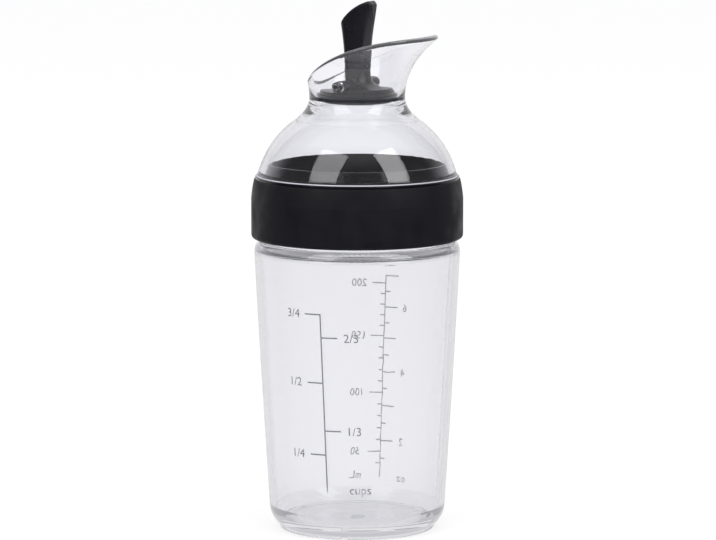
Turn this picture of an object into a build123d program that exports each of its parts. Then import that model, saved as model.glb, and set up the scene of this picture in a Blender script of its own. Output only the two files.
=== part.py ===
from build123d import *
import os
from math import hypot

# Shaker bottle for salad dressing, in millimetres: +Z up, the foot's centre at the origin, the spout along +X

# Bottle
wall = 1.9
neck_radius = 28.7
neck_height = 16.1
body_height = 92.5
body_bulge = 0.15
body_taper = 4.7
ledge_width = 1.9
shoulder_overhang = 4.2
shoulder_drop = 3.9
neck_round = 0.8
heel_height = 7.6
floor_thickness = 2.6
foot_inset = 3.3
foot_width = 1.7
foot_height = 1.7
foot_lift = 0.9
foot_step = 0.7
rim_round = 0.7
foot_round = 0.35
notch_count = 3
notch_width = 2.2
notch_height = 0.9
notch_angle = -73.6

# Seal between the bottle's rim and the lid
seal_thickness = 2.0
seal_round = 0.4
seal_inset = 0.4
seal_side_gap = 0.25

# Collar
collar_gap = 1.1
thread_room = 1.7
skirt_wall = 1.5
skirt_chamfer = 0.6
flange_thickness = 1.5
groove_depth = 1.5
groove_wall = 0.75
lip_height = 5.1
lip_wall = 2.1
lip_lead = 1.3
lip_lead_height = 2.9
collar_round = 0.35

# Soft grip around the collar
grip_wall = 1.95
grip_top_inset = 1.0
grip_taper = 6.2
grip_bulge = 0.12
grip_round = 1.3
grip_hem = 0.55
grip_top_gap = 0.9

# Clear dome
dome_foot_inset = 0.2
dome_foot_height = 2.3
dome_foot_wall = 2.3
dome_wall = 1.9
dome_top_spread = 4.75
dome_rise = 16.8
dome_bulge = 1.75

# Throat, spout and its lip
throat_radius = 15.25
throat_rise = 7.4
throat_bend_share = 0.48
bore_wall = 2.15
bore_height = 2.8
relief_wall = 1.4
spout_rise = 20.3
lip_reach = 15.8
back_drop = 16.2
flare_reach = 14.1
flare_wall = 1.55
flare_tip_wall = 1.35
flare_bend_share = 0.57
spout_outer_round = 0.8
spout_inner_round = 0.3

# Hinge
pivot_rise = 4.3
pin_radius = 1.0
pin_recess = 0.4
pin_chamfer = 0.3
boss_radius = 1.7
boss_reach = 1.5
hub_radius = 2.0
running_gap = 0.06
fit_gap = 0.02

# Stopper
stopper_drop = 2.1
plate_gap = 1.2
plate_thickness = 1.4
plate_round = 0.3
spool_depth = 2.1
ring_thickness = 1.9
ring_gap = 0.3
retainer_inset = 0.9
retainer_thickness = 1.0
peg_radius = 3.0
peg_depth = 1.6

# Lever
lever_rise = 26.4
lever_back_rise = 18.4
lever_back_reach = 5.65
lever_foot_width = 8.7
lever_foot_lean = 0.2
lever_waist_rise = 10.5
lever_waist_width = 9.2
lever_waist_lean = 0.16
lever_crown_width = 14.65
lever_crown_lean = 0.08
lever_thickness = 4.6
lever_crown_thickness = 5.8
lever_top_bulge = 1.3
lever_top_corner = 1.2
facet_rise = 12.6
facet_top = 6.15
facet_foot = 5.35
lever_round = 0.7
scoop_inset = 0.6
scoop_neck_radius = 4.2
scoop_rise = 7.0
scoop_edge = 0.9
scoop_tail = 2.9

# Small clearances and the overrun of a cut
clearance = 0.1
overrun = 1.0

# Radii that follow from the sizes above
mouth_radius = neck_radius - wall
ledge_radius = neck_radius + ledge_width
shoulder_radius = neck_radius + shoulder_overhang
heel_radius = shoulder_radius - body_taper
foot_radius = heel_radius - foot_inset
skirt_radius = neck_radius + thread_room
core_outer = skirt_radius + skirt_wall
grip_radius = core_outer + grip_wall
grip_top_radius = grip_radius - grip_top_inset
dome_foot_radius = core_outer - dome_foot_inset
dome_top_radius = throat_radius + dome_top_spread
bore_radius = throat_radius - bore_wall
relief_radius = throat_radius - relief_wall
lip_middle = throat_radius + lip_reach
plate_radius = bore_radius - plate_gap
spool_radius = plate_radius - spool_depth
retainer_radius = plate_radius - retainer_inset
scoop_radius = plate_radius - scoop_inset

# Heights that follow from the sizes above
shoulder_height = body_height - shoulder_drop
ceiling_height = body_height - wall
rim_height = body_height + neck_height
flange_height = rim_height + seal_thickness
groove_height = flange_height + flange_thickness
collar_top = groove_height + groove_depth
dome_start = groove_height + dome_foot_height
dome_end = dome_start + dome_rise
throat_height = dome_end + throat_rise
lip_top = throat_height + spout_rise
bore_top = throat_height
bore_bottom = bore_top - bore_height
pivot_height = throat_height + pivot_rise
plate_top = pivot_height - stopper_drop
ring_top = plate_top - plate_thickness
ring_bottom = ring_top - ring_thickness
retainer_bottom = ring_bottom - retainer_thickness


def turned(outline):
    """A solid of revolution from a closed outline of radius and height."""
    return revolve(Plane.XZ * make_face(outline), Axis.Z)


def across(outline, depth):
    """A solid from a closed side view, running the same depth to both sides of the bottle's middle."""
    return extrude(Plane.XZ * make_face(outline), depth, both=True)


def crossbar(radius, length):
    """A round bar on the hinge's axis."""
    return Pos(0, 0, pivot_height) * Rot(X=90) * Cylinder(radius, length)


def near(shape, radius, height):
    """The circular edge of a turned solid that passes nearest to a radius and height."""
    rings = shape.edges().filter_by(GeomType.CIRCLE)
    return rings.sort_by(lambda edge: hypot(edge.radius - radius, edge.center().Z - height))[0]


def bottle():
    """Clear body with a foot ring, tapered wall, rounded shoulder and open neck."""
    shell_radius = shoulder_radius - wall
    floor_height = foot_lift + floor_thickness
    outline = Polyline(
        (0, floor_height),
        (0, foot_lift),
        (foot_radius - foot_width, foot_lift),
        (foot_radius - foot_width, 0),
        (foot_radius, 0),
        (foot_radius, foot_height),
        (foot_radius + foot_step, foot_height),
    )
    outline += RadiusArc((foot_radius + foot_step, foot_height), (heel_radius, heel_height), -heel_height)
    outline += SagittaArc((heel_radius, heel_height), (shoulder_radius, shoulder_height), -body_bulge)
    outline += Bezier(
        (shoulder_radius, shoulder_height), (shoulder_radius, body_height), (ledge_radius, body_height)
    )
    outline += Polyline(
        (ledge_radius, body_height),
        (neck_radius, body_height),
        (neck_radius, rim_height),
        (mouth_radius, rim_height),
        (mouth_radius, ceiling_height),
        (ledge_radius - wall, ceiling_height),
    )
    outline += Bezier(
        (ledge_radius - wall, ceiling_height), (shell_radius, ceiling_height), (shell_radius, shoulder_height)
    )
    outline += SagittaArc((shell_radius, shoulder_height), (heel_radius - wall, heel_height), body_bulge)
    floor_radius = foot_radius - foot_width
    outline += RadiusArc((heel_radius - wall, heel_height), (floor_radius, floor_height), heel_height)
    outline += Line((floor_radius, floor_height), (0, floor_height))
    body = turned(outline)
    body = fillet([near(body, neck_radius, rim_height), near(body, mouth_radius, rim_height)], rim_round)
    body = fillet(near(body, mouth_radius, ceiling_height), neck_round)
    body = fillet([near(body, foot_radius, 0), near(body, foot_radius - foot_width, 0)], foot_round)
    notch = Pos(foot_radius - foot_width / 2, 0, 0) * Box(foot_width + overrun, notch_width, 2 * notch_height)
    for turn in range(notch_count):
        body -= Rot(Z=notch_angle + 360 * turn / notch_count) * notch
    return body


def lid_seal():
    """Flat silicone ring that the collar presses on the bottle's rim."""
    inner = mouth_radius + seal_inset
    outer = skirt_radius - seal_side_gap
    lower = Line((inner, rim_height), (outer, rim_height))
    upper = Polyline((outer, rim_height), (outer, flange_height), (inner, flange_height), (inner, rim_height))
    ring = turned(lower + upper)
    return fillet(ring.edges().filter_by(GeomType.CIRCLE), seal_round)


def collar_core():
    """Hard collar: the skirt that screws on the neck, the flange over the seal and the dome's groove."""
    skirt_bottom = body_height + collar_gap + grip_hem
    groove_outer = dome_foot_radius + clearance
    lip_outer = dome_foot_radius - dome_foot_wall - clearance
    lip_inner = lip_outer - lip_wall
    cap_height = collar_top - grip_top_gap
    crest_height = groove_height + lip_height
    core = turned(
        Polyline(
            (skirt_radius, skirt_bottom),
            (core_outer, skirt_bottom),
            (core_outer, cap_height),
            (groove_outer + groove_wall, cap_height),
            (groove_outer + groove_wall, collar_top),
            (groove_outer, collar_top),
            (groove_outer, groove_height),
            (lip_outer, groove_height),
            (lip_outer, crest_height - lip_lead_height),
            (lip_outer - lip_lead, crest_height),
            (lip_inner, crest_height),
            (lip_inner, flange_height),
            (skirt_radius, flange_height),
            close=True,
        )
    )
    core = chamfer(near(core, skirt_radius, skirt_bottom), skirt_chamfer)
    crests = [
        near(core, lip_outer - lip_lead, crest_height),
        near(core, lip_inner, crest_height),
        near(core, groove_outer + groove_wall, collar_top),
        near(core, groove_outer, collar_top),
    ]
    return fillet(crests, collar_round)


def grip_band():
    """Soft sleeve moulded over the collar, fullest low down and hemmed under the skirt."""
    band_bottom = body_height + collar_gap
    band_top = collar_top - grip_top_gap - clearance / 2
    band_inner = core_outer + clearance / 2
    hem_top = band_bottom + grip_hem - clearance / 2
    hem_inner = skirt_radius + skirt_chamfer
    straight_top = band_top - grip_taper
    outline = Polyline(
        (grip_top_radius, band_top),
        (band_inner, band_top),
        (band_inner, hem_top),
        (hem_inner, hem_top),
        (hem_inner, band_bottom),
        (grip_radius, band_bottom),
        (grip_radius, straight_top),
    )
    outline += SagittaArc((grip_radius, straight_top), (grip_top_radius, band_top), -grip_bulge)
    band = turned(outline)
    band = fillet(near(band, grip_radius, band_bottom), grip_round)
    return fillet(near(band, grip_top_radius, band_top), collar_round)


def spout_shell():
    """Dome, throat and trumpet flare as one thin turned wall, still uncut at the lip."""
    foot_inner = dome_foot_radius - dome_foot_wall
    flare_top = lip_top + overrun
    flare_end = throat_radius + flare_reach
    flare_bend = throat_height + (flare_top - throat_height) * flare_bend_share
    throat_bend = dome_end + throat_rise * throat_bend_share
    outer = Line((dome_foot_radius, groove_height), (dome_foot_radius, dome_start))
    outer += SagittaArc((dome_foot_radius, dome_start), (dome_top_radius, dome_end), -dome_bulge)
    outer += Bezier((dome_top_radius, dome_end), (throat_radius, throat_bend), (throat_radius, throat_height))
    outer += Bezier((throat_radius, throat_height), (throat_radius, flare_bend), (flare_end, flare_top))

    inner_end = (dome_top_radius - dome_wall, dome_end - dome_wall / 2)
    inner = Line((foot_inner, groove_height), (foot_inner, dome_start))
    inner += SagittaArc((foot_inner, dome_start), inner_end, -dome_bulge)
    inner += Bezier(inner_end, (bore_radius, throat_bend), (bore_radius, bore_bottom))
    inner += Polyline((bore_radius, bore_bottom), (bore_radius, bore_top), (relief_radius, pivot_height))
    inner += Bezier(
        (relief_radius, pivot_height),
        (relief_radius + flare_wall, flare_bend + flare_wall),
        (flare_end - flare_tip_wall, flare_top + flare_tip_wall),
    )
    ends = Line((foot_inner, groove_height), (dome_foot_radius, groove_height))
    ends += Line((flare_end, flare_top), (flare_end - flare_tip_wall, flare_top + flare_tip_wall))
    return turned(outer + inner + ends)


def lip_keeper():
    """What the lip's cut leaves: a large round bar across the bottle, and all below the throat's waist."""
    run = lip_middle + throat_radius
    radius = (run * run + back_drop * back_drop) / (2 * back_drop)
    bar = Pos(lip_middle, 0, lip_top - radius) * Rot(X=90) * Cylinder(radius, 4 * dome_foot_radius)
    return bar + Pos(0, 0, throat_height / 2) * Cylinder(2 * dome_foot_radius, throat_height)


def lip_edges(spout):
    """Edges that run round the spout's lip, from the innermost to the outermost."""
    curves = spout.edges().filter_by(GeomType.BSPLINE)
    return curves.filter_by(lambda edge: edge.bounding_box().size.Y > flare_wall).sort_by(SortBy.LENGTH)


def pour_spout():
    """Clear dome and spout with two bosses that carry the hinge pin."""
    spout = Rot(Z=180) * spout_shell() & lip_keeper()
    spout = fillet(lip_edges(spout)[-1], spout_outer_round)
    spout = fillet(lip_edges(spout)[0], spout_inner_round)
    boss_inner = relief_radius - boss_reach
    boss_outer = throat_radius
    boss_length = boss_outer - boss_inner
    for side in (1, -1):
        middle = side * (boss_inner + boss_length / 2)
        spout += Pos(0, middle, 0) * crossbar(boss_radius, boss_length)
    return spout - crossbar(pin_radius + fit_gap, 4 * throat_radius)


def hinge_pin():
    """Steel pin through both bosses, just short of the throat's outer face."""
    pin = crossbar(pin_radius, 2 * (throat_radius + pin_recess))
    return chamfer(pin.edges().filter_by(GeomType.CIRCLE), pin_chamfer)


def stopper_plate():
    """Hard core of the stopper: top plate, spool for the seal and a retaining rim below it."""
    core = turned(
        Polyline(
            (0, plate_top),
            (plate_radius, plate_top),
            (plate_radius, ring_top),
            (spool_radius, ring_top),
            (spool_radius, ring_bottom),
            (retainer_radius, ring_bottom),
            (retainer_radius, retainer_bottom),
            (0, retainer_bottom),
            close=True,
        )
    )
    rims = [near(core, plate_radius, plate_top), near(core, retainer_radius, retainer_bottom)]
    core = fillet(rims, plate_round)
    socket = Cylinder(peg_radius + fit_gap, 2 * peg_depth)
    return core - Pos(0, 0, plate_top) * socket


def stopper_seal():
    """Silicone ring in the stopper's spool, full round where it meets the bore."""
    inner = spool_radius + clearance / 2
    outer = bore_radius - ring_gap
    top = ring_top - clearance / 2
    bottom = ring_bottom + clearance / 2
    crown = (top - bottom) / 2
    outline = Polyline((outer - crown, top), (inner, top), (inner, bottom), (outer - crown, bottom))
    outline += ThreePointArc((outer - crown, bottom), (outer, (top + bottom) / 2), (outer - crown, top))
    return turned(outline)


def lever_blade():
    """Upright blade: round nosed, wider to the top, with a domed slanting crown and a flat thumb facet."""
    foot = Pos(lever_foot_lean, 0, plate_top) * SlotOverall(lever_foot_width, lever_thickness)
    waist = SlotOverall(lever_waist_width, lever_thickness)
    waist = Pos(lever_waist_lean, 0, pivot_height + lever_waist_rise) * waist
    crown = SlotOverall(lever_crown_width, lever_crown_thickness)
    crown = Pos(lever_crown_lean, 0, pivot_height + lever_rise + overrun) * crown
    blade = loft([foot, waist, crown])
    back = -lever_crown_width
    top = pivot_height + lever_rise
    facet_height = pivot_height + facet_rise
    back_top = pivot_height + lever_back_rise
    side = Polyline(
        (facet_top - lever_top_corner, top),
        (facet_top, top - lever_top_corner),
        (facet_foot, facet_height),
        (lever_crown_width, facet_height),
        (lever_crown_width, plate_top),
        (back, plate_top),
        (back, back_top - lever_rise),
        (-lever_back_reach, back_top),
    )
    side += SagittaArc((-lever_back_reach, back_top), (facet_top - lever_top_corner, top), lever_top_bulge)
    blade &= across(side, lever_crown_thickness)
    crest_span = lever_back_rise - facet_rise + lever_round
    crest = blade.edges().filter_by(lambda edge: edge.center().Z > back_top - lever_thickness)
    crest = crest.filter_by(lambda edge: edge.bounding_box().size.Z < crest_span)
    return blade, crest


def lever_scoop():
    """Trumpet foot that spreads the blade over the plate, high in front and running out behind."""
    neck_top = plate_top + scoop_rise
    trumpet = Polyline(
        (0, neck_top), (0, plate_top), (scoop_radius, plate_top), (scoop_radius, plate_top + scoop_edge)
    )
    trumpet += Bezier(
        (scoop_radius, plate_top + scoop_edge),
        (scoop_neck_radius, plate_top + scoop_edge),
        (scoop_neck_radius, neck_top),
    )
    trumpet += Line((scoop_neck_radius, neck_top), (0, neck_top))
    slope = Polyline(
        (-scoop_tail, plate_top), (scoop_neck_radius, neck_top), (scoop_radius + overrun, neck_top),
        (scoop_radius + overrun, plate_top), close=True,
    )
    return turned(trumpet) & across(slope, scoop_radius + overrun)


def lever():
    """Lever with its hub on the pin and a peg in the stopper's plate."""
    blade, crest = lever_blade()
    blade = fillet(crest, lever_round)
    hub = crossbar(hub_radius, 2 * (relief_radius - boss_reach - clearance))
    peg = Pos(0, 0, plate_top - peg_depth / 2) * Cylinder(peg_radius, peg_depth)
    arm = blade + lever_scoop() + hub + peg
    return arm - crossbar(pin_radius + running_gap, 4 * throat_radius)


pieces = {
    "bottle": bottle,
    "lid_seal": lid_seal,
    "collar_core": collar_core,
    "grip_band": grip_band,
    "pour_spout": pour_spout,
    "hinge_pin": hinge_pin,
    "stopper_plate": stopper_plate,
    "stopper_seal": stopper_seal,
    "lever": lever,
}

os.makedirs("parts", exist_ok=True)
for name, piece in pieces.items():
    export_step(piece(), f"parts/{name}.step")
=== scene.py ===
"""Studio scene of a salad dressing shaker bottle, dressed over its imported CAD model."""

import logging
import math
from dataclasses import dataclass, field
from enum import Enum
from typing import Any, Mapping, Optional, Sequence, Union

import bpy
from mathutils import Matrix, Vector


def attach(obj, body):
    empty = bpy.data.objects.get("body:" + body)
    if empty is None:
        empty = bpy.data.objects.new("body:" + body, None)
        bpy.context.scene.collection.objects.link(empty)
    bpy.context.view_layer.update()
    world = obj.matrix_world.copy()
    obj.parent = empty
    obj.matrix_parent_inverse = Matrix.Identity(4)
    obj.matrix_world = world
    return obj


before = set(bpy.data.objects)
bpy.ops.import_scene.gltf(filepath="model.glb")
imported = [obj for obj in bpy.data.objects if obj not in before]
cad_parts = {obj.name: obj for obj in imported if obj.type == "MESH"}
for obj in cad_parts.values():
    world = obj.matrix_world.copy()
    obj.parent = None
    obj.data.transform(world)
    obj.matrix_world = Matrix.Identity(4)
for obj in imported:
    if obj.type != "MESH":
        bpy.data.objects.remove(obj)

logging.basicConfig(level=logging.INFO, format="%(name)s: %(message)s")
log = logging.getLogger("shaker")

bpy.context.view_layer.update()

Point2 = tuple[float, float]
Point3 = tuple[float, float, float]
Face = tuple[int, ...]
Key = Union[str, int]

# Height of a capital in Blender's own font, as a share of the text's size
CAPITAL_SHARE = 0.7


# Units and small helpers


def mm(value: float) -> float:
    """Return millimetres as metres."""
    return value * 0.001


def srgb(code: str) -> tuple[float, float, float, float]:
    """Turn an sRGB hex colour into the linear colour a shader socket takes.

    Args:
        code: Colour such as "#1C1B1F".

    Returns:
        Linear red, green and blue with full alpha.
    """
    parts = [int(code[i:i + 2], 16) / 255 for i in (1, 3, 5)]
    red, green, blue = (p / 12.92 if p <= 0.04045 else ((p + 0.055) / 1.055) ** 2.4 for p in parts)
    return red, green, blue, 1.0


def smoothstep(value: float) -> float:
    """Return a smooth rise from 0 to 1 as the value goes from 0 to 1."""
    clipped = min(max(value, 0.0), 1.0)
    return clipped * clipped * (3 - 2 * clipped)


def add_node(
    tree: bpy.types.NodeTree,
    kind: str,
    settings: Optional[Mapping[Key, Any]] = None,
    links: Optional[Mapping[Key, bpy.types.NodeSocket]] = None,
) -> bpy.types.Node:
    """Add one shader node with its settings and links.

    Args:
        tree: Node tree that takes the node.
        kind: Blender's name of the node type.
        settings: Values by the name or number of an input, or by the name of a property.
        links: Output sockets by the name or number of the input that they feed.

    Returns:
        The new node.
    """
    node = tree.nodes.new(kind)
    for key, value in (settings or {}).items():
        if isinstance(key, int) or key in node.inputs:
            node.inputs[key].default_value = value
        else:
            setattr(node, key, value)
    for key, socket in (links or {}).items():
        tree.links.new(socket, node.inputs[key])
    return node


def new_piece(name: str, points: Sequence[Point3], faces: Sequence[Face]) -> bpy.types.Object:
    """Make a smooth shaded mesh object from points in millimetres.

    Args:
        name: Name of the piece.
        points: Corners in millimetres, in the part's frame.
        faces: Corner numbers of each face.

    Returns:
        The object, linked to the scene.
    """
    mesh = bpy.data.meshes.new(name)
    mesh.from_pydata([(mm(x), mm(y), mm(z)) for x, y, z in points], [], faces)
    mesh.validate()
    mesh.polygons.foreach_set("use_smooth", [True] * len(mesh.polygons))
    piece = bpy.data.objects.new(name, mesh)
    bpy.context.scene.collection.objects.link(piece)
    return piece


def lathe(name: str, profile: Sequence[Point2], steps: int, closed: bool = False) -> bpy.types.Object:
    """Turn a profile about the bottle's axis.

    Args:
        name: Name of the piece.
        profile: Radius and height of each point in millimetres, in order.
        steps: Number of flats round the axis.
        closed: Whether the last point joins the first, as on a ring.

    Returns:
        The turned piece.
    """
    points: list[Point3] = []
    faces: list[Face] = []
    rows: list[list[int]] = []
    for radius, height in profile:
        if radius == 0:
            rows.append([len(points)] * steps)
            points.append((0.0, 0.0, height))
            continue
        rows.append(list(range(len(points), len(points) + steps)))
        for step in range(steps):
            angle = 2 * math.pi * step / steps
            points.append((radius * math.cos(angle), radius * math.sin(angle), height))
    for low, high in zip(rows, rows[1:] + rows[:1] if closed else rows[1:]):
        for step in range(steps):
            after = (step + 1) % steps
            corners = [low[step], low[after], high[after], high[step]]
            faces.append(tuple(dict.fromkeys(corners)))
    return new_piece(name, points, faces)


# Names from the frame


class Body(str, Enum):
    """CAD bodies that the scene's own pieces ride on."""

    BOTTLE = "bottle"
    LID = "lid"
    STOPPER = "stopper"


class Slot(str, Enum):
    """Material slots of the record, handed to the threads, which don't use them."""

    CLEAR = "clear_plastic"
    BLACK = "black_plastic"
    RING = "silicone"


def mount(
    piece: bpy.types.Object, body: Body, finish: bpy.types.Material
) -> None:
    """Put a piece on a body and give it its finish.

    Args:
        piece: Piece in its place at rest.
        body: Body that it moves with.
        finish: Material for all of it.
    """
    piece.data.materials.clear()
    piece.data.materials.append(finish)
    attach(piece, body.value)
    log.info("piece %s on %s, %d faces, %s", piece.name, body.value, len(piece.data.polygons), finish.name)


def dress(node: str, finish: bpy.types.Material) -> None:
    """Give a carried-over CAD node its finish.

    Args:
        node: Name of the CAD node.
        finish: Material for every slot of it.
    """
    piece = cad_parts[node]
    for index in range(len(piece.material_slots)):
        piece.material_slots[index].material = finish
    log.info("node %s, %d faces, %s", node, len(piece.data.polygons), finish.name)


# Finishes


@dataclass(frozen=True)
class Finish:
    """What every finish has: a name, a colour and the size of its surface pattern.

    grain_mm is the size of the pattern in millimetres, and the scales of its noise count in such grains.
    """

    name: str
    colour: str
    roughness: float
    grain_mm: float

    def start(self) -> tuple[bpy.types.Material, bpy.types.NodeTree, bpy.types.NodeSocket]:
        """Begin the material.

        Returns:
            The material, its cleared node tree and an output of coordinates in grains.
        """
        material = bpy.data.materials.new(self.name)
        material.use_nodes = True
        tree = material.node_tree
        tree.nodes.clear()
        place = add_node(tree, "ShaderNodeTexCoord")
        scale = 1 / mm(self.grain_mm)
        mapping = add_node(
            tree, "ShaderNodeMapping", {"Scale": (scale, scale, scale)}, {"Vector": place.outputs["Object"]}
        )
        return material, tree, mapping.outputs["Vector"]

    def close(
        self,
        tree: bpy.types.NodeTree,
        settings: Mapping[Key, Any],
        links: Mapping[Key, bpy.types.NodeSocket],
        volume: Optional[bpy.types.NodeSocket] = None,
    ) -> None:
        """End the material with its shader and output.

        Args:
            tree: Node tree of the material.
            settings: Constant values of the shader's sockets.
            links: Outputs that feed the shader's sockets.
            volume: Output of the volume, if the material has one.
        """
        shader = add_node(tree, "ShaderNodeBsdfPrincipled", settings, links)
        ends = {"Surface": shader.outputs["BSDF"]}
        if volume is not None:
            ends["Volume"] = volume
        add_node(tree, "ShaderNodeOutputMaterial", None, ends)


@dataclass(frozen=True)
class ClearCopolyester(Finish):
    """Clear copolyester, injection moulded and polished: water clear with a cool tint where it is thick.

    Its grain is the slow waviness that the flow of the plastic leaves in a wall, at its real size. The glow
    is painted light: the plastic's volume emits a pale light of its own. It keeps thick edges grey where a
    limit on the number of inner reflections would leave them black.
    """

    ior: float = 1.57
    tint: str = "#F6F6F8"
    density: float = 9.0
    glow_colour: str = "#F5F5F9"
    glow: float = 6.5
    ripple: float = 0.02
    ripple_share: float = 0.05
    haze_scale: float = 2.6
    haze_range: Point2 = (0.35, 0.7)
    rough_range: Point2 = (0.6, 1.6)

    def build(self) -> bpy.types.Material:
        """Make slow flow ripples and a faint haze, with a painted glow in the volume that lightens the thick
        edges.

        Returns:
            The material.
        """
        material, tree, place = self.start()
        flow = add_node(
            tree, "ShaderNodeTexNoise", {"Scale": 1.0, "Detail": 1.5, "Roughness": 0.4}, {"Vector": place}
        )
        haze = add_node(
            tree, "ShaderNodeTexNoise", {"Scale": self.haze_scale, "Detail": 3.0}, {"Vector": place}
        )
        least, most = (self.roughness * share for share in self.rough_range)
        rough = add_node(
            tree,
            "ShaderNodeMapRange",
            {"From Min": self.haze_range[0], "From Max": self.haze_range[1], "To Min": least, "To Max": most},
            {"Value": haze.outputs["Fac"]},
        )
        bump = add_node(
            tree,
            "ShaderNodeBump",
            {"Strength": self.ripple, "Distance": mm(self.grain_mm) * self.ripple_share},
            {"Height": flow.outputs["Fac"]},
        )
        depth = add_node(
            tree, "ShaderNodeVolumeAbsorption", {"Color": srgb(self.tint), "Density": self.density}
        )
        # Painted glow: emission in the plastic's volume that lightens thick edges, in place of light lost to
        # the limit on inner reflections
        light = add_node(
            tree, "ShaderNodeEmission", {"Color": srgb(self.glow_colour), "Strength": self.glow}
        )
        inside = add_node(
            tree, "ShaderNodeAddShader", None, {0: depth.outputs["Volume"], 1: light.outputs["Emission"]}
        )
        self.close(
            tree,
            {"Base Color": srgb(self.colour), "IOR": self.ior, "Transmission Weight": 1.0},
            {"Roughness": rough.outputs["Result"], "Normal": bump.outputs["Normal"]},
            inside.outputs["Shader"],
        )
        return material


@dataclass(frozen=True)
class MouldedPlastic(Finish):
    """Moulded plastic or rubber: colour that drifts slightly and a fine grain from the mould's surface.

    The real grain is under 0.1 mm, so it is drawn as coarse as it needs to be to show.
    """

    lighter: str = "#222226"
    ior: float = 1.53
    specular: float = 0.5
    grain_depth: float = 0.2
    grain_share: float = 0.25
    drift_scale: float = 0.05
    drift_range: Point2 = (0.3, 0.7)
    rough_spread: float = 0.25

    def build(self) -> bpy.types.Material:
        """Make a fine bump for the mould's texture and a slow change of colour and gloss.

        Returns:
            The material.
        """
        material, tree, place = self.start()
        grain = add_node(
            tree, "ShaderNodeTexNoise", {"Scale": 1.0, "Detail": 2.0, "Roughness": 0.6}, {"Vector": place}
        )
        drift = add_node(
            tree, "ShaderNodeTexNoise", {"Scale": self.drift_scale, "Detail": 3.0}, {"Vector": place}
        )
        colour = add_node(
            tree,
            "ShaderNodeMix",
            {"data_type": "RGBA", 6: srgb(self.colour), 7: srgb(self.lighter)},
            {0: drift.outputs["Fac"]},
        )
        rough = add_node(
            tree,
            "ShaderNodeMapRange",
            {
                "From Min": self.drift_range[0],
                "From Max": self.drift_range[1],
                "To Min": self.roughness * (1 - self.rough_spread),
                "To Max": self.roughness * (1 + self.rough_spread),
            },
            {"Value": drift.outputs["Fac"]},
        )
        bump = add_node(
            tree,
            "ShaderNodeBump",
            {"Strength": self.grain_depth, "Distance": mm(self.grain_mm) * self.grain_share},
            {"Height": grain.outputs["Fac"]},
        )
        self.close(
            tree,
            {"IOR": self.ior, "Specular IOR Level": self.specular},
            {
                "Base Color": colour.outputs[2],
                "Roughness": rough.outputs["Result"],
                "Normal": bump.outputs["Normal"],
            },
        )
        return material


@dataclass(frozen=True)
class DrawnSteel(Finish):
    """Stainless steel rod, drawn: fine lines along the pin, which pull its highlight out.

    The real lines are finer, and are drawn as coarse as they need to be to show.
    """

    stretch: float = 0.04
    line_depth: float = 0.15
    line_share: float = 0.2
    rough_range: Point2 = (0.6, 1.5)

    def build(self) -> bpy.types.Material:
        """Make lines along the pin's length in roughness and bump.

        Returns:
            The material.
        """
        material, tree, place = self.start()
        along = add_node(
            tree, "ShaderNodeMapping", {"Scale": (1.0, self.stretch, 1.0)}, {"Vector": place}
        )
        lines = add_node(
            tree, "ShaderNodeTexNoise", {"Scale": 1.0, "Detail": 2.0}, {"Vector": along.outputs["Vector"]}
        )
        least, most = (self.roughness * share for share in self.rough_range)
        rough = add_node(
            tree, "ShaderNodeMapRange", {"To Min": least, "To Max": most}, {"Value": lines.outputs["Fac"]}
        )
        bump = add_node(
            tree,
            "ShaderNodeBump",
            {"Strength": self.line_depth, "Distance": mm(self.grain_mm) * self.line_share},
            {"Height": lines.outputs["Fac"]},
        )
        self.close(
            tree,
            {"Base Color": srgb(self.colour), "Metallic": 1.0},
            {"Roughness": rough.outputs["Result"], "Normal": bump.outputs["Normal"]},
        )
        return material


@dataclass(frozen=True)
class PadPrint(Finish):
    """Grey ink, pad printed: thin, slightly uneven cover on the polished wall."""

    worn: str = "#BCBCC4"
    ior: float = 1.5

    def build(self) -> bpy.types.Material:
        """Make a cover that thins in specks, as a pad leaves it.

        Returns:
            The material.
        """
        material, tree, place = self.start()
        specks = add_node(tree, "ShaderNodeTexNoise", {"Scale": 1.0, "Detail": 3.0}, {"Vector": place})
        colour = add_node(
            tree,
            "ShaderNodeMix",
            {"data_type": "RGBA", 6: srgb(self.colour), 7: srgb(self.worn)},
            {0: specks.outputs["Fac"]},
        )
        self.close(tree, {"Roughness": self.roughness, "IOR": self.ior}, {"Base Color": colour.outputs[2]})
        return material


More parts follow.
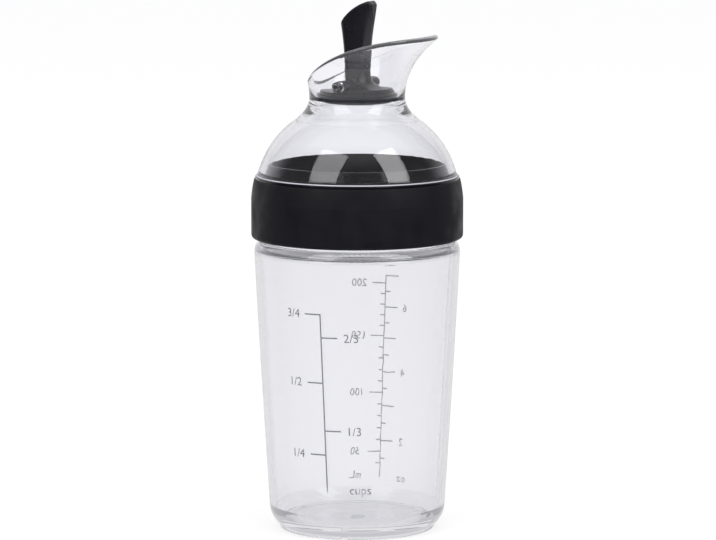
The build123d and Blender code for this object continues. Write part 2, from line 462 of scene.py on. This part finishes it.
@dataclass(frozen=True)
class Finishes:
    """Every finish on the bottle, built once."""

    clear: bpy.types.Material
    dome: bpy.types.Material
    bead: bpy.types.Material
    core: bpy.types.Material
    lever: bpy.types.Material
    grip: bpy.types.Material
    ring: bpy.types.Material
    seal: bpy.types.Material
    steel: bpy.types.Material
    ink: bpy.types.Material

    @classmethod
    def build(cls) -> "Finishes":
        """Make every material.

        Returns:
            The set.
        """
        return cls(
            # Clear copolyester, moulded and polished: sharp highlights and a cool grey in thick edges, from
            # absorption and a strong painted glow
            clear=ClearCopolyester(
                "clear_copolyester_moulded", "#F9F9FB", 0.03, 14.0, tint="#BEBEC0", density=100.0, glow=33.0
            ).build(),
            # Clear copolyester from a mirror polished tool: the same plastic with nothing blurred behind it,
            # and a weaker painted glow
            dome=ClearCopolyester("clear_copolyester_mirror_polished", "#F9F9FC", 0.004, 14.0).build(),
            # Clear copolyester with a matt edge, coloured pale: a painted highlight, the thin line of pale
            # light round the dome's foot
            bead=MouldedPlastic(
                "clear_copolyester_bead_painted_highlight", "#BEBEC8", 0.35, 0.5,
                lighter="#D2D2DB", ior=1.57, grain_depth=0.05,
            ).build(),
            # Black ABS, moulded in a polished tool: dark mirror rims that show the lights
            core=MouldedPlastic(
                "black_abs_gloss_moulded", "#0A0A0E", 0.19, 0.6,
                lighter="#111117", ior=1.54, specular=0.4, grain_depth=0.03,
            ).build(),
            # Black ABS, moulded in a satin tool: soft highlights along the lever's rounded edges
            lever=MouldedPlastic(
                "black_abs_satin_moulded", "#121217", 0.28, 0.4, lighter="#1B1B21", ior=1.54, grain_depth=0.08
            ).build(),
            # Thermoplastic elastomer, moulded in a spark-eroded tool: near black, matt and grippy
            grip=MouldedPlastic(
                "black_elastomer_matt_moulded", "#0E0D14", 0.55, 0.35,
                lighter="#15141C", ior=1.5, specular=0.3, grain_depth=0.3,
            ).build(),
            # Silicone rubber, compression moulded: navy black with a waxy sheen
            ring=MouldedPlastic(
                "navy_silicone_moulded", "#0C0E1A", 0.42, 0.5, lighter="#141827", ior=1.43, grain_depth=0.06
            ).build(),
            # Silicone rubber, unpigmented: milky pale ring under the lid
            seal=MouldedPlastic(
                "pale_silicone_moulded", "#C9C9CF", 0.42, 0.5,
                lighter="#D6D6DB", ior=1.43, specular=0.4, grain_depth=0.06,
            ).build(),
            # Stainless steel, drawn: bright pin with lines along it
            steel=DrawnSteel("stainless_steel_drawn", "#C6C7CA", 0.22, 0.08).build(),
            # Grey ink, pad printed: flat mid grey marks
            ink=PadPrint("grey_ink_pad_printed", "#94959D", 0.5, 0.25).build(),
        )


# The bottle's wall and its printed scales


@dataclass
class TaperedWall:
    """Outer face of the bottle's body, which the printing lies on."""

    heel_radius: float = 28.2
    heel_height: float = 7.6
    shoulder_radius: float = 32.9
    shoulder_height: float = 88.6
    print_lift: float = 0.05

    def radius(self, height: float) -> float:
        """Return the outer radius at a height, both in millimetres."""
        share = (height - self.heel_height) / (self.shoulder_height - self.heel_height)
        return self.heel_radius + share * (self.shoulder_radius - self.heel_radius)

    def place(self, azimuth: float, along: float, height: float) -> Point3:
        """Put a printed point on the wall.

        Args:
            azimuth: Direction of the print's own zero in degrees from the spout.
            along: Distance round the wall from that zero in millimetres, to the right seen from outside.
            height: Height in millimetres.

        Returns:
            The point in millimetres.
        """
        radius = self.radius(height)
        angle = math.radians(azimuth) + along / radius
        return (
            (radius + self.print_lift) * math.cos(angle),
            (radius + self.print_lift) * math.sin(angle),
            height,
        )


@dataclass
class PrintSheet:
    """Flat artwork of ticks and characters, bent onto the wall as one thin piece."""

    wall: TaperedWall
    azimuth: float
    azimuth_height: float
    lean: float
    line_width: float = 0.42
    cell_along: float = 0.8
    cell_up: float = 3.0
    points: list[Point3] = field(default_factory=list)
    faces: list[Face] = field(default_factory=list)

    def zero(self, height: float) -> float:
        """Return the azimuth of the scale's upright line at a height."""
        return self.azimuth + self.lean * (height - self.azimuth_height)

    def bar(self, left: float, right: float, low: float, high: float) -> None:
        """Add a bar.

        Args:
            left: Its left side in millimetres from the upright line.
            right: Its right side.
            low: Height of its lower side.
            high: Height of its upper side.
        """
        across = max(1, math.ceil((right - left) / self.cell_along))
        up = max(1, math.ceil((high - low) / self.cell_up))
        first = len(self.points)
        for row in range(up + 1):
            height = low + (high - low) * row / up
            for column in range(across + 1):
                along = left + (right - left) * column / across
                self.points.append(self.wall.place(self.zero(height), along, height))
        for row in range(up):
            for column in range(across):
                corner = first + row * (across + 1) + column
                self.faces.append((corner, corner + 1, corner + across + 2, corner + across + 1))

    def upright(self, low: float, high: float) -> None:
        """Add the scale's upright line between two heights."""
        self.bar(-self.line_width / 2, self.line_width / 2, low, high)

    def tick(self, height: float, length: float) -> None:
        """Add a tick at a height, to the right for a positive length and to the left for a negative one."""
        half = self.line_width / 2
        self.bar(min(0.0, length), max(0.0, length), height - half, height + half)

    def words(self, text: str, along: float, height: float, size: float) -> None:
        """Add a number or a unit, middled on a place.

        Args:
            text: What it says.
            along: Middle of the text in millimetres from the upright line.
            height: Height of its middle.
            size: Height of its capitals in millimetres.
        """
        curve = bpy.data.curves.new("print", "FONT")
        curve.body = text
        curve.size = 1.0
        curve.resolution_u = 4
        holder = bpy.data.objects.new("print", curve)
        flat = bpy.data.meshes.new_from_object(holder)
        spots = [vertex.co for vertex in flat.vertices]
        low = Vector((min(s.x for s in spots), min(s.y for s in spots)))
        high = Vector((max(s.x for s in spots), max(s.y for s in spots)))
        stretch = size / CAPITAL_SHARE
        middle = (low + high) / 2
        first = len(self.points)
        for spot in spots:
            up = height + (spot.y - middle.y) * stretch
            self.points.append(self.wall.place(self.zero(up), along + (spot.x - middle.x) * stretch, up))
        for polygon in flat.polygons:
            self.faces.append(tuple(first + number for number in polygon.vertices))
        bpy.data.objects.remove(holder)
        bpy.data.curves.remove(curve)
        bpy.data.meshes.remove(flat)

    def build(self, name: str) -> bpy.types.Object:
        """Return the print as one piece."""
        return new_piece(name, self.points, self.faces)


@dataclass
class CupScale:
    """Cup fractions on the near wall."""

    azimuth: float = -83.06
    lean: float = -0.0391
    foot_height: float = 15.9
    tick_length: float = 5.3
    text_gap: float = 4.3
    text_size: float = 2.7
    unit_along: float = 10.6
    unit_up: float = 0.1
    heights: dict[str, float] = field(
        default_factory=lambda: {"3/4": 73.0, "2/3": 65.65, "1/2": 51.1, "1/3": 35.8, "1/4": 28.0}
    )
    on_right: tuple[str, ...] = ("2/3", "1/3")

    def build(self, wall: TaperedWall, finish: bpy.types.Material) -> None:
        """Print the scale on the wall.

        Args:
            wall: Wall that carries it.
            finish: Ink.
        """
        sheet = PrintSheet(wall, self.azimuth, self.foot_height, self.lean)
        sheet.upright(self.foot_height, self.heights["3/4"] + sheet.line_width / 2)
        for label, height in self.heights.items():
            side = 1 if label in self.on_right else -1
            sheet.tick(height, side * self.tick_length)
            sheet.words(label, side * (self.tick_length + self.text_gap), height, self.text_size)
        sheet.words("cups", self.unit_along, self.foot_height + self.unit_up, self.text_size)
        mount(sheet.build("cup_scale"), Body.BOTTLE, finish)


@dataclass
class VolumeScale:
    """Millilitres and ounces on the far wall, on one upright line."""

    azimuth: float = 100.22
    lean: float = -0.0321
    foot_height: float = 10.63
    long_tick: float = 4.7
    short_tick: float = 1.75
    line_width: float = 0.34
    text_size: float = 2.5
    ml_along: float = 9.2
    ounce_along: float = -7.4
    ml_unit: Point2 = (8.7, 0.6)
    ounce_unit: Point2 = (-8.0, -0.3)
    ounce_ml: float = 29.57
    top_ounces: int = 7
    ml_marks: range = range(40, 201, 10)
    half_ounce_marks: range = range(3, 15)
    labelled_ounces: tuple[int, ...] = (2, 4, 6)
    table: tuple[Point2, ...] = ((50, 19.10), (100, 38.58), (150, 57.28), (200, 74.68))

    def height(self, millilitres: float) -> float:
        """Find where a volume's mark stands.

        Args:
            millilitres: The volume.

        Returns:
            Height of its mark in millimetres.
        """
        lower, upper = next(
            (pair for pair in zip(self.table, self.table[1:]) if millilitres <= pair[1][0]),
            (self.table[-2], self.table[-1]),
        )
        share = (millilitres - lower[0]) / (upper[0] - lower[0])
        return lower[1] + share * (upper[1] - lower[1])

    def build(self, wall: TaperedWall, finish: bpy.types.Material) -> None:
        """Print the scale on the wall.

        Args:
            wall: Wall that carries it.
            finish: Ink.
        """
        sheet = PrintSheet(wall, self.azimuth, self.foot_height, self.lean, self.line_width)
        sheet.upright(self.foot_height, self.height(self.top_ounces * self.ounce_ml) + self.line_width / 2)
        labelled_ml = [volume for volume, _ in self.table]
        for millilitres in self.ml_marks:
            height, labelled = self.height(millilitres), millilitres in labelled_ml
            sheet.tick(height, self.long_tick if labelled else self.short_tick)
            if labelled:
                sheet.words(str(millilitres), self.ml_along, height, self.text_size)
        for halves in self.half_ounce_marks:
            height = self.height(halves * self.ounce_ml / 2)
            sheet.tick(height, -self.short_tick if halves % 2 else -self.long_tick)
            if halves / 2 in self.labelled_ounces:
                sheet.words(str(halves // 2), self.ounce_along, height, self.text_size)
        for unit, (along, up) in (("mL", self.ml_unit), ("oz", self.ounce_unit)):
            sheet.words(unit, along, self.foot_height + up, self.text_size)
        mount(sheet.build("volume_scale"), Body.BOTTLE, finish)


# Threads


@dataclass
class ThreadRib:
    """One helical rib of the screw between neck and collar."""

    name: str
    root_radius: float
    crest_radius: float
    low: float
    turns: float
    start: float
    pitch: float = 5.0
    root_width: float = 2.3
    crest_width: float = 1.1
    run_out: float = 14.0
    least_share: float = 0.04
    steps_per_turn: int = 144
    # Lower flank: share of the way out, then its distance below as shares of half the root and half the crest
    flank: tuple[Point3, ...] = ((0.0, 1.0, 0.0), (0.35, 0.8, 0.0), (0.8, 0.0, 1.1), (1.0, 0.0, 0.6))

    def section(self, share: float) -> list[Point2]:
        """Return the rib's cross-section as radius and height about its middle.

        Args:
            share: How far the rib stands out here, from 0 to 1.

        Returns:
            Points round the section, in order.
        """
        rise = (self.crest_radius - self.root_radius) * share
        root, crest = self.root_width / 2, self.crest_width / 2
        side = [
            (self.root_radius + rise * out, -root * of_root - crest * of_crest)
            for out, of_root, of_crest in self.flank
        ]
        return side + [(radius, -up) for radius, up in reversed(side)]

    def build(self, body: Body, finish: bpy.types.Material, slot: Slot) -> None:
        """Sweep the rib up its helix.

        Args:
            body: Body that it moves with.
            finish: Material.
            slot: Slot of the record; not used.
        """
        points: list[Point3] = []
        faces: list[Face] = []
        count = math.ceil(self.turns * self.steps_per_turn)
        wide = len(self.section(1.0))
        for step in range(count + 1):
            turned = 360 * self.turns * step / count
            end = min(turned, 360 * self.turns - turned)
            share = self.least_share + (1 - self.least_share) * smoothstep(end / self.run_out)
            angle = math.radians(self.start + turned)
            middle = self.low + self.pitch * turned / 360
            for radius, up in self.section(share):
                points.append((radius * math.cos(angle), radius * math.sin(angle), middle + up))
        for step in range(count):
            for corner in range(wide):
                after = (corner + 1) % wide
                a, b = step * wide + corner, step * wide + after
                faces.append((a, b, b + wide, a + wide))
        faces.append(tuple(range(wide)))
        faces.append(tuple(reversed(range(count * wide, (count + 1) * wide))))
        mount(new_piece(self.name, points, faces), body, finish)


# Sub-assemblies


@dataclass
class ShakerBottle:
    """Clear body with its neck thread, the gate mark under its floor and the printed scales."""

    gate_low: float = 0.55
    # Radius and height above its lowest face; the top is inside the floor
    gate_section: tuple[Point2, ...] = (
        (0.0, 0.4), (2.6, 0.4), (2.6, 0.25), (2.45, 0.05), (2.15, 0.0),
        (1.7, 0.1), (0.9, 0.15), (0.5, 0.02), (0.0, 0.0),
    )
    steps: int = 96
    wall: TaperedWall = field(default_factory=TaperedWall)
    neck_thread: ThreadRib = field(
        default_factory=lambda: ThreadRib(
            "neck_thread", root_radius=28.6, crest_radius=29.95, low=98.6, turns=1.35, start=30.0
        )
    )

    def gate(self) -> bpy.types.Object:
        """Turn the gate mark: a low ringed button where the plastic entered the mould.

        Returns:
            The piece.
        """
        profile = [(radius, self.gate_low + up) for radius, up in self.gate_section]
        return lathe("gate_mark", profile, self.steps)

    def build(self, finishes: Finishes) -> None:
        """Dress the body and add what is drawn on it.

        Args:
            finishes: The bottle's finishes.
        """
        dress("bottle", finishes.clear)
        self.neck_thread.build(Body.BOTTLE, finishes.clear, Slot.CLEAR)
        mount(self.gate(), Body.BOTTLE, finishes.clear)
        CupScale().build(self.wall, finishes.ink)
        VolumeScale().build(self.wall, finishes.ink)


@dataclass
class ScrewCollar:
    """Hard collar with its inner thread, the soft grip round it and the seal inside."""

    thread: ThreadRib = field(
        default_factory=lambda: ThreadRib(
            "collar_thread", root_radius=30.5, crest_radius=29.15, low=96.9, turns=1.2, start=60.0
        )
    )

    def build(self, finishes: Finishes) -> None:
        """Dress the collar's nodes and cut its thread.

        Args:
            finishes: The bottle's finishes.
        """
        dress("collar_core", finishes.core)
        dress("grip_band", finishes.grip)
        dress("lid_seal", finishes.seal)
        self.thread.build(Body.LID, finishes.core, Slot.BLACK)


@dataclass
class PourSpout:
    """Clear dome and spout with the pin through its bosses, and a pale bead at the dome's foot that paints a
    highlight line.
    """

    bead_radius: float = 31.95
    bead_height: float = 113.68
    bead_width: float = 0.62
    bead_tall: float = 0.5
    corners: int = 12
    steps: int = 160

    def bead(self) -> bpy.types.Object:
        """Turn the matt bead that seats the dome's foot on the collar's crest; its pale colour paints the
        highlight line along the collar's top edge.

        Returns:
            The piece.
        """
        profile: list[Point2] = []
        for corner in range(self.corners):
            turn = 2 * math.pi * corner / self.corners
            out, up = math.cos(turn) * self.bead_width / 2, math.sin(turn) * self.bead_tall / 2
            profile.append((self.bead_radius + out, self.bead_height + up))
        return lathe("dome_highlight_bead", profile, self.steps, closed=True)

    def build(self, finishes: Finishes) -> None:
        """Dress the spout and its pin.

        Args:
            finishes: The bottle's finishes.
        """
        dress("pour_spout", finishes.dome)
        dress("hinge_pin", finishes.steel)
        mount(self.bead(), Body.LID, finishes.bead)


@dataclass
class TiltingStopper:
    """Lever, the stopper's hard core and its silicone ring, with the ring's band pressed on the bore."""

    bore_radius: float = 13.1
    press: float = 0.04
    band_middle: float = 138.45
    band_tall: float = 1.5
    band_depth: float = 0.5
    edge_in: float = 0.12
    edge_up: float = 0.15
    steps: int = 128

    def contact_band(self) -> bpy.types.Object:
        """Turn the flat that the squeezed ring presses on the throat's bore.

        Returns:
            The piece.
        """
        face, back = self.bore_radius + self.press, self.bore_radius - self.band_depth
        half = self.band_tall / 2
        low, high = self.band_middle - half, self.band_middle + half
        profile = [
            (back, low),
            (face - self.edge_in, low),
            (face, low + self.edge_up),
            (face, high - self.edge_up),
            (face - self.edge_in, high),
            (back, high),
        ]
        return lathe("seal_contact_band", profile, self.steps, closed=True)

    def build(self, finishes: Finishes) -> None:
        """Dress the stopper's nodes.

        Args:
            finishes: The bottle's finishes.
        """
        dress("lever", finishes.lever)
        dress("stopper_plate", finishes.core)
        dress("stopper_seal", finishes.ring)
        mount(self.contact_band(), Body.STOPPER, finishes.ring)


# Studio


@dataclass
class SoftBox:
    """One soft light, aimed at the bottle."""

    name: str
    turn: float
    distance: float
    height: float
    width: float
    tall: float
    power: float

    def build(self, middle: Vector, facing: float) -> None:
        """Place the light.

        Args:
            middle: Point that it faces.
            facing: Direction from the bottle to the camera in degrees from the spout.
        """
        light = bpy.data.lights.new(self.name, "AREA")
        light.shape = "RECTANGLE"
        light.size = self.width
        light.size_y = self.tall
        light.energy = self.power
        lamp = bpy.data.objects.new(self.name, light)
        angle = math.radians(facing + self.turn)
        lamp.location = (self.distance * math.cos(angle), self.distance * math.sin(angle), self.height)
        lamp.rotation_euler = (middle - lamp.location).to_track_quat("-Z", "Y").to_euler()
        bpy.context.scene.collection.objects.link(lamp)


@dataclass(frozen=True)
class Fade:
    """Smooth change of brightness along one direction of the sky, which runs from -1 to 1."""

    start: float
    end: float
    after: float
    before: float = 0.0


@dataclass
class Studio:
    """Pale floor, soft light all round and the camera at the photograph's angle."""

    facing: float = -64.0
    camera_run: float = 1.2045
    camera_height: float = 0.2501
    camera_sees: float = 50.0
    aim_height: float = 0.083
    aim_side: float = 0.00026
    focal_mm: float = 191.06
    sensor_mm: float = 36.0
    sky_colour: str = "#FDFDFF"
    sky_light: Fade = Fade(0.05, 0.9, after=0.9, before=1.0)
    flag_right: Fade = Fade(0.3, 0.8, after=0.5)
    flag_left: Fade = Fade(-0.3, -0.8, after=0.3)
    mirrored_wall: Fade = Fade(0.1, 0.6, after=0.85)
    mirrored_floor: Fade = Fade(-0.15, -0.6, after=0.3)
    mirrored_ceiling: Fade = Fade(0.55, 0.98, after=0.45)
    mirrored_room: float = 0.06
    # Limits between whole numbers: one reflection or more, and two faces passed or more
    any_reflection: float = 0.5
    second_face: float = 1.5
    floor_radius_mm: float = 14000.0
    floor_rings: int = 24
    floor_steps: int = 64
    floor_glow: float = 0.68
    floor_glow_colour: str = "#FFFFFF"
    floor_colours: tuple[str, str] = ("#A2A2A3", "#A6A6A7")
    floor_grains_a_metre: float = 900.0
    floor_roughness: float = 0.95
    floor_specular: float = 0.1
    boxes: tuple[SoftBox, ...] = (
        SoftBox("soft_box_left", turn=-43.0, distance=1.15, height=0.95, width=0.8, tall=1.2, power=6.0),
        SoftBox("soft_box_right", turn=52.0, distance=1.15, height=0.95, width=0.65, tall=1.2, power=6.8),
    )

    def sky(self) -> None:
        """Light the scene from a plain pale sky, with a soft dark flag on each side.

        Gloss mirrors a dim room with a pale wall, floor and ceiling instead of that sky. So does what the
        inner face of a clear wall sends back, which would else lay a veil over the black parts behind it.
        """
        world = bpy.data.worlds.new("pale_studio")
        bpy.context.scene.world = world
        world.use_nodes = True
        tree = world.node_tree
        tree.nodes.clear()
        place = add_node(tree, "ShaderNodeTexCoord").outputs["Generated"]
        upward = add_node(tree, "ShaderNodeSeparateXYZ", None, {"Vector": place}).outputs["Z"]
        angle = math.radians(self.facing)
        away, across = (
            add_node(
                tree, "ShaderNodeVectorMath", {"operation": "DOT_PRODUCT", 1: axis}, {0: place}
            ).outputs["Value"]
            for axis in (
                (-math.cos(angle), -math.sin(angle), 0.0),
                (-math.sin(angle), math.cos(angle), 0.0),
            )
        )
        level, right, left, wall, under, over = (
            add_node(
                tree,
                "ShaderNodeMapRange",
                {
                    "interpolation_type": "SMOOTHSTEP",
                    "From Min": fade.start,
                    "From Max": fade.end,
                    "To Min": fade.before,
                    "To Max": fade.after,
                },
                {"Value": value},
            ).outputs["Result"]
            for value, fade in (
                (upward, self.sky_light),
                (across, self.flag_right),
                (across, self.flag_left),
                (away, self.mirrored_wall),
                (upward, self.mirrored_floor),
                (upward, self.mirrored_ceiling),
            )
        )
        sides = add_node(tree, "ShaderNodeMath", {"operation": "MAXIMUM"}, {0: wall, 1: under})
        bright = add_node(
            tree, "ShaderNodeMath", {"operation": "MAXIMUM"}, {0: sides.outputs["Value"], 1: over}
        )
        room = add_node(
            tree,
            "ShaderNodeMath",
            {"operation": "MAXIMUM", 1: self.mirrored_room},
            {0: bright.outputs["Value"]},
        )
        path = add_node(tree, "ShaderNodeLightPath")
        mirror = add_node(
            tree,
            "ShaderNodeMath",
            {"operation": "SUBTRACT", "use_clamp": True},
            {0: path.outputs["Is Glossy Ray"], 1: path.outputs["Is Transmission Ray"]},
        )
        sent_back, within_wall = (
            add_node(
                tree, "ShaderNodeMath", {"operation": "GREATER_THAN", 1: limit}, {0: path.outputs[depth]}
            ).outputs["Value"]
            for depth, limit in (
                ("Glossy Depth", self.any_reflection),
                ("Transmission Depth", self.second_face),
            )
        )
        inner = add_node(tree, "ShaderNodeMath", {"operation": "MULTIPLY"}, {0: sent_back, 1: within_wall})
        either = add_node(
            tree,
            "ShaderNodeMath",
            {"operation": "MAXIMUM"},
            {0: mirror.outputs["Value"], 1: inner.outputs["Value"]},
        )
        dimmed = add_node(
            tree,
            "ShaderNodeMapRange",
            {"To Min": 1.0},
            {"Value": either.outputs["Value"], "To Max": room.outputs["Value"]},
        )
        flags = add_node(tree, "ShaderNodeMath", {"operation": "ADD"}, {0: right, 1: left})
        open_sky = add_node(
            tree, "ShaderNodeMath", {"operation": "SUBTRACT", 0: 1.0}, {1: flags.outputs["Value"]}
        )
        flagged = add_node(
            tree, "ShaderNodeMath", {"operation": "MULTIPLY"}, {0: level, 1: open_sky.outputs["Value"]}
        )
        strength = add_node(
            tree,
            "ShaderNodeMath",
            {"operation": "MULTIPLY"},
            {0: flagged.outputs["Value"], 1: dimmed.outputs["Result"]},
        )
        light = add_node(
            tree,
            "ShaderNodeBackground",
            {"Color": srgb(self.sky_colour)},
            {"Strength": strength.outputs["Value"]},
        )
        add_node(tree, "ShaderNodeOutputWorld", None, {"Surface": light.outputs["Background"]})

    def floor(self) -> None:
        """Lay the floor: a light table's opal sheet, which glows a little and keeps a faint shadow."""
        shares = [ring / self.floor_rings for ring in reversed(range(self.floor_rings + 1))]
        profile = [(self.floor_radius_mm * share ** 2, 0.0) for share in shares]
        sheet = lathe("studio_floor", profile, self.floor_steps)
        # Acrylic, cast with an opal filler and a matt face: even pale light with no reflections
        material = bpy.data.materials.new("opal_acrylic_matt_cast")
        material.use_nodes = True
        tree = material.node_tree
        tree.nodes.clear()
        place = add_node(tree, "ShaderNodeTexCoord")
        filler = add_node(
            tree,
            "ShaderNodeTexNoise",
            {"Scale": self.floor_grains_a_metre, "Detail": 2.0},
            {"Vector": place.outputs["Object"]},
        )
        colour = add_node(
            tree,
            "ShaderNodeMix",
            {"data_type": "RGBA", 6: srgb(self.floor_colours[0]), 7: srgb(self.floor_colours[1])},
            {0: filler.outputs["Fac"]},
        )
        shader = add_node(
            tree,
            "ShaderNodeBsdfPrincipled",
            {
                "Roughness": self.floor_roughness,
                "Specular IOR Level": self.floor_specular,
                "Emission Color": srgb(self.floor_glow_colour),
                "Emission Strength": self.floor_glow,
            },
            {"Base Color": colour.outputs[2]},
        )
        add_node(tree, "ShaderNodeOutputMaterial", None, {"Surface": shader.outputs["BSDF"]})
        sheet.data.materials.append(material)
        sheet.visible_glossy = False

    def camera(self) -> None:
        """Set the camera where the photograph was taken from."""
        angle = math.radians(self.facing)
        data = bpy.data.cameras.new("studio_camera")
        data.lens = self.focal_mm
        data.sensor_width = self.sensor_mm
        data.clip_end = self.camera_sees
        eye = bpy.data.objects.new("studio_camera", data)
        run = self.camera_run
        eye.location = (run * math.cos(angle), run * math.sin(angle), self.camera_height)
        aim = Vector((-math.sin(angle) * self.aim_side, math.cos(angle) * self.aim_side, self.aim_height))
        eye.rotation_euler = (aim - eye.location).to_track_quat("-Z", "Y").to_euler()
        bpy.context.scene.collection.objects.link(eye)
        bpy.context.scene.camera = eye

    def build(self) -> None:
        """Build the whole studio."""
        bpy.context.scene.view_settings.view_transform = "Standard"
        self.sky()
        self.floor()
        for box in self.boxes:
            box.build(Vector((0, 0, self.aim_height)), self.facing)
        self.camera()
        log.info("studio with %d soft boxes", len(self.boxes))


def main() -> None:
    """Build the studio and dress the bottle."""
    Studio().build()
    finishes = Finishes.build()
    ShakerBottle().build(finishes)
    ScrewCollar().build(finishes)
    PourSpout().build(finishes)
    TiltingStopper().build(finishes)


if __name__ == "__main__":
    main()
